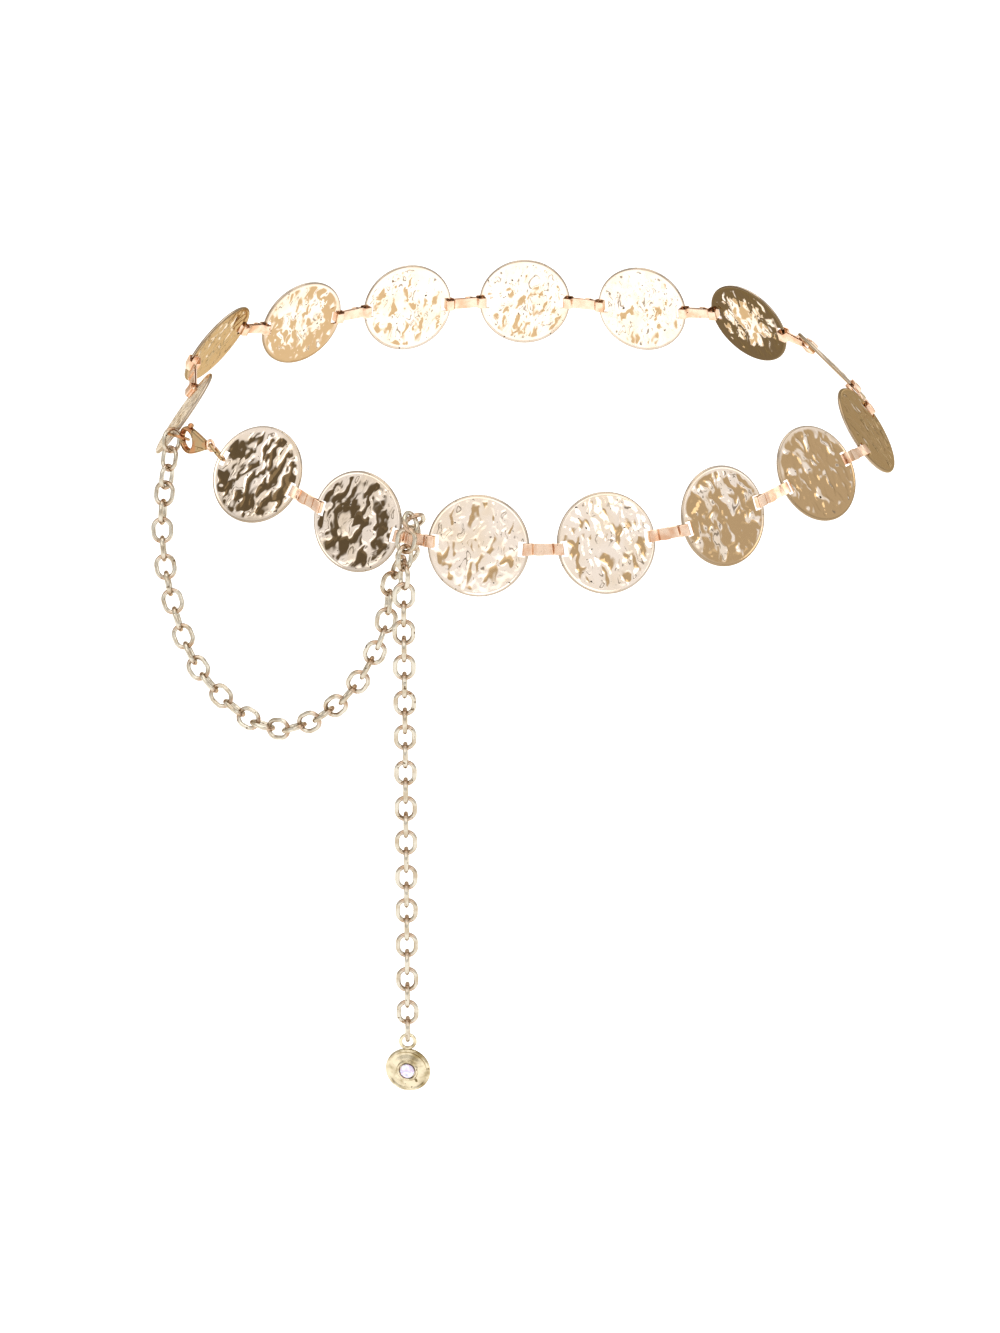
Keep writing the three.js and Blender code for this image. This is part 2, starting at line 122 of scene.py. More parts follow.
def readValue(tree, name):
    return addNode(tree, "ShaderNodeAttribute", attribute_name=name).outputs["Fac"]


# Noise whose grain has the given size in millimetres.
def grain(tree, place, size, **inputs):
    scale = calc(tree, "/", 1 / millimetre, size)
    return addNode(tree, "ShaderNodeTexNoise", {"Vector": place, "Scale": scale, **inputs}).outputs["Fac"]


def paint(red, green, blue):
    def linear(value):
        share = value / 255
        return share / 12.92 if share <= 0.04045 else ((share + 0.055) / 1.055) ** 2.4
    return (linear(red), linear(green), linear(blue), 1.0)


# Helpers for meshes

def newObject(name, mesh):
    made = bpy.data.objects.new(name, mesh)
    bpy.context.scene.collection.objects.link(made)
    return made


def meshFrom(name, points, faces):
    mesh = bpy.data.meshes.new(name)
    mesh.from_pydata([tuple(point) for point in points], [], faces)
    mesh.validate()
    mesh.update()
    return mesh


# Adds the faces between two rings of points that start at low and at high.
def addBand(faces, low, high, count):
    for step in range(count):
        following = (step + 1) % count
        faces.append((low + step, low + following, high + following, high + step))


def smoothed(mesh, sharpAngle=40):
    mesh.shade_smooth()
    mesh.set_sharp_from_angle(angle=radians(sharpAngle))
    return mesh


# Applies the modifiers of a helper object and removes it, so a plain mesh is left.
def applied(made, name):
    evaluated = made.evaluated_get(bpy.context.evaluated_depsgraph_get())
    mesh = bpy.data.meshes.new_from_object(evaluated)
    mesh.name = name
    bpy.data.objects.remove(made)
    return mesh


def nodesModifier(made, tree, values):
    modifier = made.modifiers.new(tree.name, "NODES")
    modifier.node_group = tree
    for item in tree.interface.items_tree:
        if item.item_type == "SOCKET" and item.in_out == "INPUT" and item.name in values:
            modifier[item.identifier] = values[item.name]
    return modifier


def finishPiece(name, mesh, material, body, nodes):
    made = newObject(name, mesh)
    if material is not None:
        mesh.materials.clear()
        mesh.materials.append(material)
    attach(made, body)
    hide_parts(*nodes)
    return made


def squareTo(vector, axis):
    return (vector - axis * vector.dot(axis)).normalized()


def basisAt(origin, xAxis, yAxis, zAxis):
    matrix = Matrix((xAxis, yAxis, zAxis)).transposed().to_4x4()
    matrix.translation = origin
    return matrix


# Turns millimetres into metres, and sets the mesh in its place.
def placeMesh(mesh, matrix=Matrix.Identity(4)):
    mesh.transform(Matrix.Scale(millimetre, 4) @ matrix)
    return mesh


# Shared surface effects

tarnishShape = Settings(reach=0.78, gain=0.4, blur=0.03, cloudFrom=0.4, cloudTo=0.68)
polishShape = Settings(stretch=(0.12, 1.0, 1.0), low=0.45, fineTo=0.75, fineHeight=0.2, rippleTo=0.7)


# Small dark spots over a body colour that turns warmer in soft clouds.
def makeTarnishGroup():
    tree = bpy.data.node_groups.new("tarnish", "ShaderNodeTree")
    addSockets(tree, "INPUT", "Float", "Spot Size", "Spots", "Cloud Size", "Clouds")
    addSockets(tree, "INPUT", "Color", "Clean", "Warm", "Tarnish")
    addSockets(tree, "OUTPUT", "Color", "Color")
    given = addNode(tree, "NodeGroupInput").outputs
    place = addNode(tree, "ShaderNodeTexCoord").outputs["Object"]
    spotNoise = grain(tree, place, given["Spot Size"], Detail=2.0)
    cloudNoise = grain(tree, place, given["Cloud Size"], Detail=4.0)
    gain = calc(tree, "*", given["Spots"], tarnishShape.gain)
    reach = calc(tree, "-", tarnishShape.reach, gain)
    spots = rescale(tree, spotNoise, calc(tree, "-", reach, tarnishShape.blur), reach)
    clouds = rescale(tree, cloudNoise, tarnishShape.cloudFrom, tarnishShape.cloudTo)
    warmShare = calc(tree, "*", clouds, given["Clouds"])
    body = mixColors(tree, warmShare, given["Clean"], given["Warm"])
    addNode(tree, "NodeGroupOutput", {"Color": mixColors(tree, spots, body, given["Tarnish"])})
    return tree


# Fine scratches and ripples left by polishing, as a height and as a change of gloss.
def makePolishGroup():
    tree = bpy.data.node_groups.new("polish", "ShaderNodeTree")
    addSockets(tree, "INPUT", "Float", "Ripple Size", "Scratch Size", "Scratches", "Gloss", "Dull")
    addSockets(tree, "OUTPUT", "Float", "Height", "Roughness")
    given = addNode(tree, "NodeGroupInput").outputs
    place = addNode(tree, "ShaderNodeTexCoord").outputs["Object"]
    stretched = addNode(tree, "ShaderNodeMapping", {"Vector": place, "Scale": polishShape.stretch})
    ripple = grain(tree, place, given["Ripple Size"], Detail=3.0)
    scratch = grain(tree, stretched.outputs["Vector"], given["Scratch Size"], Detail=2.0, Roughness=0.7)
    fine = rescale(tree, scratch, polishShape.low, polishShape.fineTo)
    fineGain = calc(tree, "*", given["Scratches"], polishShape.fineHeight)
    height = calc(tree, "+", ripple, calc(tree, "*", fine, fineGain))
    coarse = rescale(tree, ripple, polishShape.low, polishShape.rippleTo)
    dull = calc(tree, "MAXIMUM", fine, coarse)
    share = calc(tree, "*", dull, given["Scratches"])
    gap = calc(tree, "-", given["Dull"], given["Gloss"])
    roughness = calc(tree, "MULTIPLY_ADD", share, gap, given["Gloss"])
    addNode(tree, "NodeGroupOutput", {"Height": height, "Roughness": roughness})
    return tree


tarnishGroup = makeTarnishGroup()
polishGroup = makePolishGroup()


def startMaterial(name):
    material = bpy.data.materials.new(name)
    material.use_nodes = True
    material.node_tree.nodes.clear()
    return material, material.node_tree


def addSurface(tree, inputs):
    shader = addNode(tree, "ShaderNodeBsdfPrincipled", inputs)
    addNode(tree, "ShaderNodeOutputMaterial", {"Surface": shader.outputs["BSDF"]})


def addGroup(tree, group, values):
    node = addNode(tree, "ShaderNodeGroup", node_tree=group)
    for name, value in values.items():
        node.inputs[name].default_value = value
    return node.outputs


# The tint of reflections seen at a grazing angle.
grazingTint = (0.72, 0.64, 0.5, 1)


# spots, clouds and scratches are each a size in millimetres and a share. colors are the clean, the warm and
# the tarnished one. roughness is that of clean and of dull metal, and bump is a strength and a depth.
def makeMetal(name, spots, clouds, colors, ripple, scratches, roughness, bump, colorFrom=None):
    material, tree = startMaterial(name)
    clean, warm, tarnished = (paint(*color) for color in colors)
    tarnish = addGroup(tree, tarnishGroup, {
        "Spot Size": spots[0], "Spots": spots[1], "Cloud Size": clouds[0], "Clouds": clouds[1],
        "Clean": clean, "Warm": warm, "Tarnish": tarnished})
    polish = addGroup(tree, polishGroup, {
        "Ripple Size": ripple, "Scratch Size": scratches[0], "Scratches": scratches[1],
        "Gloss": roughness[0], "Dull": roughness[1]})
    raised = addNode(tree, "ShaderNodeBump", {
        "Strength": bump[0], "Distance": bump[1] * millimetre, "Height": polish["Height"]})
    color = tarnish["Color"]
    if colorFrom is not None:
        color = colorFrom(tree, color)
    addSurface(tree, {
        "Base Color": color, "Metallic": 1.0, "Roughness": polish["Roughness"],
        "Specular Tint": grazingTint, "Normal": raised.outputs["Normal"]})
    return material


# Belt line, as in the part

belt = Settings(
    halfWidth=140, frontDepth=105, backDepth=115, fullness=1.8, slope=11.6,
    firstBearing=185.6, frontPitch=49.4, backPitch=52.2, pitchTurn=10, widestStep=1.2,
    hookRoll=10,
)

# One row for each disc: height above the sloping loop, lean of the outer face and turn about the upright.
discRows = [
    (3.5, 39, -2), (11.5, 35, -5), (3, 19, -4), (-2, 10, -3),
    (-4, 11, 0), (-2.5, 13, 3), (3, 27, -1), (2, 47, -2),
    (-3, 36, 0), (0.5, 30, -6), (-2, 17, 6), (-4, 18, 4),
    (-4, 11, 0), (-1.5, 14, -6), (4.5, 30, -1),
]


def beltPoint(bearing, lift):
    cosine = cos(bearing)
    sine = sin(bearing)
    depth = belt.frontDepth if sine < 0 else belt.backDepth
    power = 2 / belt.fullness
    x = belt.halfWidth * copysign(abs(cosine) ** power, cosine)
    y = depth * copysign(abs(sine) ** power, sine)
    return Vector((x, y, y * tan(radians(belt.slope)) + lift))


def nextBearing(bearing, start, lift, pitch):
    near = 0
    far = belt.widestStep
    for _ in range(40):
        middle = (near + far) / 2
        if (beltPoint(bearing - middle, lift) - start).length < pitch:
            near = middle
        else:
            far = middle
    return bearing - far


def discCentres():
    bearing = radians(belt.firstBearing)
    centres = [beltPoint(bearing, discRows[0][0])]
    for lift, lean, turn in discRows[1:]:
        backness = 0.5 + 0.5 * sin(bearing - radians(belt.pitchTurn))
        pitch = belt.frontPitch + (belt.backPitch - belt.frontPitch) * backness
        bearing = nextBearing(bearing, centres[-1], lift, pitch)
        centres.append(beltPoint(bearing, lift))
    return centres


# Each disc's axes: ahead runs along the belt, across runs down its face, out is square to its outer face.
def discFrames():
    centres = discCentres()
    found = []
    for index, (lift, lean, turn) in enumerate(discRows):
        before = centres[max(index - 1, 0)]
        after = centres[min(index + 1, len(centres) - 1)]
        ahead = Matrix.Rotation(radians(turn), 3, up) @ (after - before).normalized()
        out = Matrix.Rotation(radians(lean), 3, ahead) @ up.cross(ahead).normalized()
        # The first disc is also rolled in its own plane, so that its ring meets the clasp.
        if index == 0:
            ahead = Matrix.Rotation(radians(belt.hookRoll), 3, out) @ ahead
        found.append(Settings(centre=centres[index], ahead=ahead, across=out.cross(ahead), out=out))
    return found


frames = discFrames()
print("belt line ready")


# Hammered discs

plate = Settings(
    radius=19.75, plateHalf=0.45, barWidth=1.5, slotWidth=2.8, slotHeight=6,
    fieldRadius=18.4, fieldRings=34, beadHalf=0.7,
)
# Each entry is an input of the node tree that hammers the plate.
hammering = {
    "Dent Depth": 1.2, "Dent Size": 2.9, "Stretch": 2.4, "Turn": 0.2, "Drift": 4.4, "Drift Scale": 0.17,
    "Bowls": 0.16, "Bowl Level": 0.42, "Smoothness": 0.35, "Swell Roughness": 0.3, "Swell Twist": 0.7,
    "Disc Step": 37.0, "Face Step": 11.0, "Plate Radius": plate.radius, "Dome": 0.6,
    "Field Radius": 18.3, "Fade": 1.4, "Rim Radius": 18.7, "Rim Fade": 0.7, "Rim Level": 0.08,
    # The last entry fills more of the dents towards the bottom of each disc, as painted shade.
    "Lower Patina": 0.12,
}

# The rim in section, from the field outwards: radius and half thickness.
rimSection = [(18.6, 0.48), (18.8, 0.6), (19.0, 0.67), (19.25, 0.66), (19.5, 0.52), (19.68, 0.26)]


# A round plate with an even net of quads: ring k has 8k points, so its cells keep one size out to the rim.
def blankPlate():
    rings = plate.fieldRings
    width = 2 * rings + 1
    steps = range(-rings, rings)
    border = [(rings, step) for step in steps] + [(-step, rings) for step in steps]
    border += [(-rings, -step) for step in steps] + [(step, -rings) for step in steps]
    points = []
    faces = []

    def netPoint(column, row, share=1.0):
        ring = max(abs(column), abs(row))
        if ring == 0:
            return 0.0, 0.0
        if abs(column) >= abs(row):
            angle = pi / 4 * row / column + (pi if column < 0 else 0)
        else:
            angle = pi / 2 - pi / 4 * column / row + (pi if row < 0 else 0)
        radius = plate.fieldRadius * ring / rings * share
        return radius * cos(angle), radius * sin(angle)

    def addRing(radius, height):
        start = len(points)
        share = radius / plate.fieldRadius
        points.extend((*netPoint(column, row, share), height) for column, row in border)
        return list(range(start, len(points)))

    def joinRings(inner, outer, face):
        for step in range(len(border)):
            following = (step + 1) % len(border)
            quad = (inner[step], outer[step], outer[following], inner[following])
            faces.append(quad if face > 0 else quad[::-1])

    lastRings = []
    for face in (1, -1):
        start = len(points)
        for row in range(-rings, rings + 1):
            for column in range(-rings, rings + 1):
                points.append((*netPoint(column, row), face * plate.plateHalf))
        for row in range(width - 1):
            for column in range(width - 1):
                corner = start + row * width + column
                quad = (corner, corner + 1, corner + width + 1, corner + width)
                faces.append(quad if face > 0 else quad[::-1])
        ring = [start + (row + rings) * width + column + rings for column, row in border]
        for radius, half in rimSection:
            newRing = addRing(radius, face * half)
            joinRings(ring, newRing, face)
            ring = newRing
        lastRings.append(ring)
    edge = addRing(plate.radius, 0)
    joinRings(lastRings[0], edge, 1)
    joinRings(lastRings[1], edge, -1)
    return meshFrom("blankPlate", points, faces)


def solidMesh(name, create, stretch, centre, **sizes):
    mesh = bpy.data.meshes.new(name)
    shape = bmesh.new()
    create(shape, **sizes)
    bmesh.ops.scale(shape, vec=stretch, verts=shape.verts)
    bmesh.ops.translate(shape, vec=centre, verts=shape.verts)
    shape.to_mesh(mesh)
    shape.free()
    return mesh


def boxObject(name, size, centre):
    return newObject(name, solidMesh(name, bmesh.ops.create_cube, size, centre, size=1))


# Cuts the tools away from the object, or joins or crosses it with them. The tools are removed.
def combined(made, tools, operation="DIFFERENCE"):
    for tool in tools:
        modifier = made.modifiers.new("combine", "BOOLEAN")
        modifier.operation = operation
        modifier.solver = "EXACT"
        modifier.object = tool
    mesh = applied(made, "combined")
    for tool in tools:
        bpy.data.objects.remove(tool)
    return mesh


def slottedPlate():
    middle = plate.radius - plate.barWidth - plate.slotWidth / 2
    size = (plate.slotWidth, plate.slotHeight, 6 * plate.beadHalf)
    cutters = [boxObject("slotCutter", size, (side * middle, 0, 0)) for side in (1, -1)]
    return combined(newObject("plateBlank", blankPlate()), cutters)


def makeHammerTree():
    tree = bpy.data.node_groups.new("hammeredPlate", "GeometryNodeTree")
    addSockets(tree, "INPUT", "Geometry", "Plate")
    addSockets(tree, "INPUT", "Float", *hammering, "Outer Patina", "Inner Patina", "Seed")
    addSockets(tree, "INPUT", "Material", "Metal")
    addSockets(tree, "OUTPUT", "Geometry", "Plate")
    given = addNode(tree, "NodeGroupInput").outputs
    parts = split(tree, geoNode(tree, "InputPosition"))
    side = calc(tree, "SIGN", parts[2])

    # Each face of each disc reads its own slice of the noise, turned its own way.
    faceStep = calc(tree, "*", side, given["Face Step"])
    layer = calc(tree, "MULTIPLY_ADD", given["Seed"], given["Disc Step"], faceStep)
    angle = calc(tree, "*", calc(tree, "SINE", given["Seed"]), given["Turn"])
    turn = addNode(tree, "ShaderNodeVectorRotate", {
        "Vector": join(tree, parts[0], parts[1], layer), "Angle": angle}, rotation_type="Z_AXIS").outputs[0]

    # The dents are longer down the face than across it, and drift to and fro.
    drift = addNode(tree, "ShaderNodeTexNoise", {
        "Vector": turn, "Scale": given["Drift Scale"], "Detail": 1.0}).outputs["Color"]
    centred = vectorCalc(tree, "SUBTRACT", {0: drift, 1: (0.5, 0.5, 0.5)})[0]
    moved = vectorCalc(tree, "SCALE", {0: centred, "Scale": given["Drift"]})[0]
    wavy = split(tree, vectorCalc(tree, "ADD", {0: turn, 1: moved})[0])
    dentPlace = join(tree, wavy[0], calc(tree, "/", wavy[1], given["Stretch"]), wavy[2])
    shared = {"Vector": dentPlace, "Scale": calc(tree, "/", 1.0, given["Dent Size"])}
    dents = addNode(tree, "ShaderNodeTexVoronoi", {
        **shared, "Smoothness": given["Smoothness"]}, feature="SMOOTH_F1").outputs["Distance"]
    swell = addNode(tree, "ShaderNodeTexNoise", {
        **shared, "Detail": 1.0, "Roughness": given["Swell Roughness"],
        "Distortion": given["Swell Twist"]}).outputs["Fac"]
    bowls = calc(tree, "*", calc(tree, "-", dents, given["Bowl Level"]), given["Bowls"])
    relief = calc(tree, "+", bowls, calc(tree, "-", swell, 0.5))

    # The relief fades out before the rim, and the whole disc is slightly domed.
    radius = vectorCalc(tree, "LENGTH", {0: join(tree, parts[0], parts[1])})["Value"]
    fadeFrom = calc(tree, "-", given["Field Radius"], given["Fade"])
    fade = rescale(tree, radius, fadeFrom, given["Field Radius"], 1.0, 0.0)
    height = calc(tree, "*", calc(tree, "*", relief, fade), given["Dent Depth"])
    outwards = calc(tree, "POWER", calc(tree, "/", radius, given["Plate Radius"]), 2.0)
    dome = calc(tree, "*", calc(tree, "-", 1.0, outwards), given["Dome"])
    offset = join(tree, z=calc(tree, "MULTIPLY_ADD", height, side, dome))
    marked = geoNode(tree, "SetPosition", {"Geometry": given["Plate"], "Offset": offset})

    # What the metal reads: how high each point lies, how near it is to the rim, where a painted dark
    # reflection goes, and how far its dents fill. Patina, painted reflection and painted shade fill them,
    # with more painted shade towards the bottom.
    unfaded = calc(tree, "*", calc(tree, "-", 1.0, fade), given["Rim Level"])
    hollow = calc(tree, "MULTIPLY_ADD", relief, fade, unfaded)
    rimFull = calc(tree, "+", given["Rim Radius"], given["Rim Fade"])
    rim = rescale(tree, radius, given["Rim Radius"], rimFull)
    outerShare = calc(tree, "*", calc(tree, "GREATER_THAN", parts[2], 0.0), given["Outer Patina"])
    innerShare = calc(tree, "*", calc(tree, "LESS_THAN", parts[2], 0.0), given["Inner Patina"])
    downwards = calc(tree, "/", parts[1], given["Plate Radius"])
    faceShare = calc(tree, "+", outerShare, innerShare)
    patinaShadeAndReflection = calc(tree, "MULTIPLY_ADD", downwards, given["Lower Patina"], faceShare)
    for name, value in (("hollow", hollow), ("rim", rim), ("patinaShadeAndReflection", patinaShadeAndReflection)):
        marked = storeValue(tree, marked, name, value)
    whole = geoNode(tree, "RealizeInstances", {0: marked})
    coated = geoNode(tree, "SetMaterial", {"Geometry": whole, "Material": given["Metal"]})
    addNode(tree, "NodeGroupOutput", {"Plate": coated})
    return tree


# The rim's painted dark reflection.
rimReflectionTone = Settings(color=paint(122, 104, 80), share=0.7)
# Tones in the dents. Patina and painted reflection are brown; the dark one is a painted dark reflection.
patinaAndReflectionTone = Settings(
    brown=paint(184, 154, 114), dark=paint(96, 78, 54), darkFrom=1.2, evenFill=0.5, reach=0.46,
    edge=0.05,
)
# Painted shade, drawn as broken dark lines in the creases of the dents.
creaseShadeTone = Settings(
    color=paint(104, 86, 62), level=0.14, half=0.03, blur=0.022, length=5.0, share=0.8,
    breakFrom=0.47, breakTo=0.56,
)

# How far the dents of each disc fill, on its outer and its inner face. Patina and painted reflection fill
# them: each disc's level stands for how dark its reflections are, as a painted reflection. Up to 1.2 it is
# brown. Above that it is dark, and fills as far as the value less 1.
discPatinaAndReflection = [
    (0.3, 0.3), (0.98, 0.99), (0.5, 0.68), (0.4, 0.3),
    (0.4, 0.3), (0.4, 0.3), (0.5, 1.97), (0.6, 0.8),
    (0.99, 0.6), (0.72, 0.5), (0.64, 0.5), (0.28, 0.4),
    (0.24, 0.4), (1.53, 0.5), (1.54, 0.5),
]


# Patina and painted shade sit in the dents, up to a level that a stored attribute gives. Broken dark lines
# follow one level of the dents as painted shade in the creases, and the rim is painted dark as a painted
# reflection.
def addPatinaShadeAndReflection(tree, color):
    hollow = readValue(tree, "hollow")
    patinaShadeAndReflection = readValue(tree, "patinaShadeAndReflection")
    darkShare = calc(tree, "GREATER_THAN", patinaShadeAndReflection, patinaAndReflectionTone.darkFrom)
    filled = calc(tree, "-", calc(tree, "-", patinaShadeAndReflection, darkShare), patinaAndReflectionTone.evenFill)
    level = calc(tree, "*", filled, patinaAndReflectionTone.reach)
    below = calc(tree, "-", level, patinaAndReflectionTone.edge)
    above = calc(tree, "+", level, patinaAndReflectionTone.edge)
    share = rescale(tree, hollow, below, above, 1.0, 0.0)
    tone = mixColors(tree, darkShare, patinaAndReflectionTone.brown, patinaAndReflectionTone.dark)
    aged = mixColors(tree, share, color, tone)

    offLevel = calc(tree, "ABSOLUTE", calc(tree, "-", hollow, creaseShadeTone.level))
    creaseShade = rescale(tree, offLevel, creaseShadeTone.half - creaseShadeTone.blur, creaseShadeTone.half, 1.0, 0.0)
    place = addNode(tree, "ShaderNodeTexCoord").outputs["Object"]
    breaks = grain(tree, place, creaseShadeTone.length, Detail=1.0)
    shown = rescale(tree, breaks, creaseShadeTone.breakFrom, creaseShadeTone.breakTo, 0.0, creaseShadeTone.share)
    creaseShaded = mixColors(tree, calc(tree, "*", creaseShade, shown), aged, creaseShadeTone.color)
    rimReflectionShare = calc(tree, "*", readValue(tree, "rim"), rimReflectionTone.share)
    return mixColors(tree, rimReflectionShare, creaseShaded, rimReflectionTone.color)


discMetal = makeMetal(
    "hammeredPaleGold", (1.6, 0.14), (11.0, 0.55), ((242, 228, 214), (232, 210, 180), (58, 47, 30)),
    ripple=2.4, scratches=(0.3, 0.4), roughness=(0.1, 0.26), bump=(0.2, 0.2), colorFrom=addPatinaShadeAndReflection)
hammerTree = makeHammerTree()
plateMesh = slottedPlate()

for index, (outer, inner) in enumerate(discPatinaAndReflection):
    name = f"disc_{index + 1:02d}"
    worker = newObject("discWorker", plateMesh.copy())
    nodesModifier(worker, hammerTree, {
        **hammering, "Outer Patina": outer, "Inner Patina": inner, "Seed": float(index + 1),
        "Metal": discMetal})
    place = frames[index]
    mesh = placeMesh(applied(worker, name), basisAt(place.centre, place.ahead, place.across, place.out))
    finishPiece(f"hammered_{name}", smoothed(mesh), None, "belt", [name])
print("discs ready")


# Bent strips, each a ring through two slots, pinched flat between them and lapped on the outer face

strip = Settings(
    width=4.5, thickness=0.5, bend=0.6, bendSteps=5, play=0.5, pinch=0.5, slope=1.2,
    edge=0.12, slantShare=1.7, rampSteps=6, seamPlace=0.7, tongue=0.4, lapStart=0.6,
    lapSteps=4, lapLift=0.04, lap=1.6, topWidth=4.9,
)


# How far from a disc's middle the end of a strip lies, so that it clears the bar beside the slot.
def stripReach(place, direction):
    onward = abs(direction.dot(place.ahead))
    through = plate.beadHalf * abs(direction.dot(place.out))
    return plate.radius - plate.barWidth - (strip.play + strip.thickness / 2 + through) / onward


# Where a strip starts, its length and direction, half the gap between its walls at the discs, and how far in
# from each end it clears the disc's rim.
def stripSpan(index):
    ends = (frames[index], frames[index + 1])
    straight = (ends[1].centre - ends[0].centre).normalized()
    start = ends[0].centre + ends[0].ahead * stripReach(ends[0], straight)
    finish = ends[1].centre - ends[1].ahead * stripReach(ends[1], straight)
    slant = max(abs(straight.dot(place.out)) for place in ends)
    edges = []
    for place in ends:
        onward = abs(straight.dot(place.ahead))
        beyond = (plate.radius - stripReach(place, straight)) / onward
        edges.append(beyond + plate.beadHalf * slant + strip.play)
    innerHalf = plate.beadHalf + strip.slantShare * plate.barWidth * slant + strip.play
    return start, (finish - start).length, (finish - start).normalized(), innerHalf, edges


# A bar swept through stations, closed at both ends. Its section has its four corners cut off.
def sweptBar(name, stations):
    points = []
    faces = []
    edge = strip.edge
    for point, outward, wide, half, width in stations:
        section = [
            (-half, -width + edge), (-half + edge, -width), (half - edge, -width), (half, -width + edge),
            (half, width - edge), (half - edge, width), (-half + edge, width), (-half, width - edge),
        ]
        points.extend(point + outward * offset + wide * spread for offset, spread in section)
    count = len(section)
    last = len(points) - count
    for low in range(0, last, count):
        addBand(faces, low, low + count, count)
    faces.append(tuple(reversed(range(count))))
    faces.append(tuple(range(last, last + count)))
    return meshFrom(name, points, faces)


def eased(share):
    return 3 * share ** 2 - 2 * share ** 3


def stripMesh(index):
    start, length, direction, innerHalf, (nearEdge, farEdge) = stripSpan(index)
    height = innerHalf + strip.thickness / 2
    bend = strip.bend
    slope = strip.slope
    flatStart = nearEdge + slope
    flatEnd = length - farEdge - slope
    seam = flatStart + (flatEnd - flatStart) * strip.seamPlace
    quarter = pi / 2

    def riseAt(reach):
        near = min(max((reach - nearEdge) / slope, 0), 1)
        far = min(max((length - farEdge - reach) / slope, 0), 1)
        return height + (strip.pinch - height) * eased(min(near, far))

    def station(reach, rise, angle=quarter, width=strip.width):
        share = min(max(reach / length, 0), 1)
        wide = frames[index].across.lerp(frames[index + 1].across, share)
        thick = direction.cross(wide).normalized()
        point = start + direction * reach + thick * rise
        outward = direction * cos(angle) + thick * sin(angle)
        return point, outward, wide, strip.thickness / 2, width / 2

    def ramp(edge, towards):
        return [edge + towards * slope * step / strip.rampSteps for step in range(strip.rampSteps + 1)]

    # The first stretch runs from the seam to the near end, on the outer face.
    outerNear = [seam + strip.tongue, (seam + flatStart) / 2, *reversed(ramp(nearEdge, 1))]
    stations = [station(reach, riseAt(reach)) for reach in outerNear]

    def addBend(end, face, turned):
        for step in range(strip.bendSteps + 1):
            angle = quarter * (turned + step / strip.bendSteps)
            middle = length - bend if end > 0 else bend
            rise = face * (height - bend) + bend * sin(angle)
            stations.append(station(middle + bend * cos(angle), rise, angle))

    # It turns round the near slot, comes back on the inner face and turns round the far slot.
    addBend(-1, 1, 1)
    addBend(-1, -1, 2)
    inner = [*ramp(nearEdge, 1), (flatStart + flatEnd) / 2, *reversed(ramp(length - farEdge, -1))]
    stations.extend(station(reach, -riseAt(reach), 3 * quarter) for reach in inner)
    addBend(1, -1, 3)
    addBend(1, 1, 4)

    # The last stretch comes back over the outer face and lies on top of the first.
    stations.extend(station(reach, riseAt(reach)) for reach in ramp(length - farEdge, -1))
    lifted = strip.thickness + strip.lapLift
    for step in range(strip.lapSteps):
        share = (step + 1) / strip.lapSteps
        reach = flatEnd + (seam + strip.lapStart - flatEnd) * share
        width = strip.width + (strip.topWidth - strip.width) * share
        stations.append(station(reach, strip.pinch + lifted * eased(share), quarter, width))
    stations.append(station(seam - strip.lap, strip.pinch + lifted, quarter, strip.topWidth))
    return placeMesh(sweptBar(f"strip_{index + 1:02d}", stations))


stripMetal = makeMetal(
    "polishedRoseGold", (1.4, 0.1), (5.0, 0.8), ((236, 208, 184), (214, 164, 128), (110, 66, 36)),
    ripple=2.0, scratches=(0.25, 0.5), roughness=(0.22, 0.4), bump=(0.35, 0.12))

for index in range(len(frames) - 1):
    node = f"strip_{index + 1:02d}"
    finishPiece(f"bent_{node}", smoothed(stripMesh(index), 35), stripMetal, "belt", [node])
print("strips ready")


# Rings of wire, made by one node tree: oval links set on points that carry their own axes

chainSteps = {"Bow Steps": 28, "Wire Sides": 12}
ringSteps = {"Bow Steps": 40, "Wire Sides": 16}

# How far from a link's middle, as a share of its length, the painted shade of a crossing begins and is full.
crossingPlace = {"Touch From": 0.27, "Touch To": 0.44}


